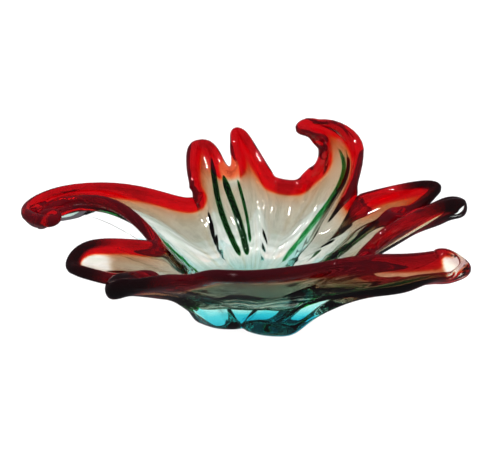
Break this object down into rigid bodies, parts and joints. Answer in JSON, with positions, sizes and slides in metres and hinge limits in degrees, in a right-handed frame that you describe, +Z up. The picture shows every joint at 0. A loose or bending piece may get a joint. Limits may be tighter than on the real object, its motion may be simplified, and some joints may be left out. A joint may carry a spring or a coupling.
{
  "type": "art glass centrepiece bowl",
  "caption": "Thick flat-footed art glass bowl with a flared lip drawn into nine points, three of them long curling arms, in clear casing over ruby, aqua and green.",
  "frame": {"origin": "centre of the flat ground foot, on the table", "axes": "+Z up; +X towards the right arms, along the longest extent; +Y towards the tall back arm"},
  "size_m": [0.4191, 0.2721, 0.1582],
  "materials": {
    "clear_glass": "fire-polished clear glass",
    "straw_glass": "fire-polished smoky straw glass",
    "aqua_glass": "transparent aqua glass",
    "ruby_glass": "transparent ruby glass that thins to amber",
    "green_glass": "transparent bottle-green glass"
  },
  "bodies": {
    "root": {"outer_casing": "clear_glass", "inner_gather": "straw_glass", "aqua_core": "aqua_glass", "ruby_lip": "ruby_glass", "cane_right_pair": "green_glass", "cane_back_arm": "green_glass", "cane_back_pair": "green_glass", "cane_left_arm": "green_glass", "cane_left_pair": "green_glass", "cane_front_arm": "green_glass"}
  },
  "joints": []
}
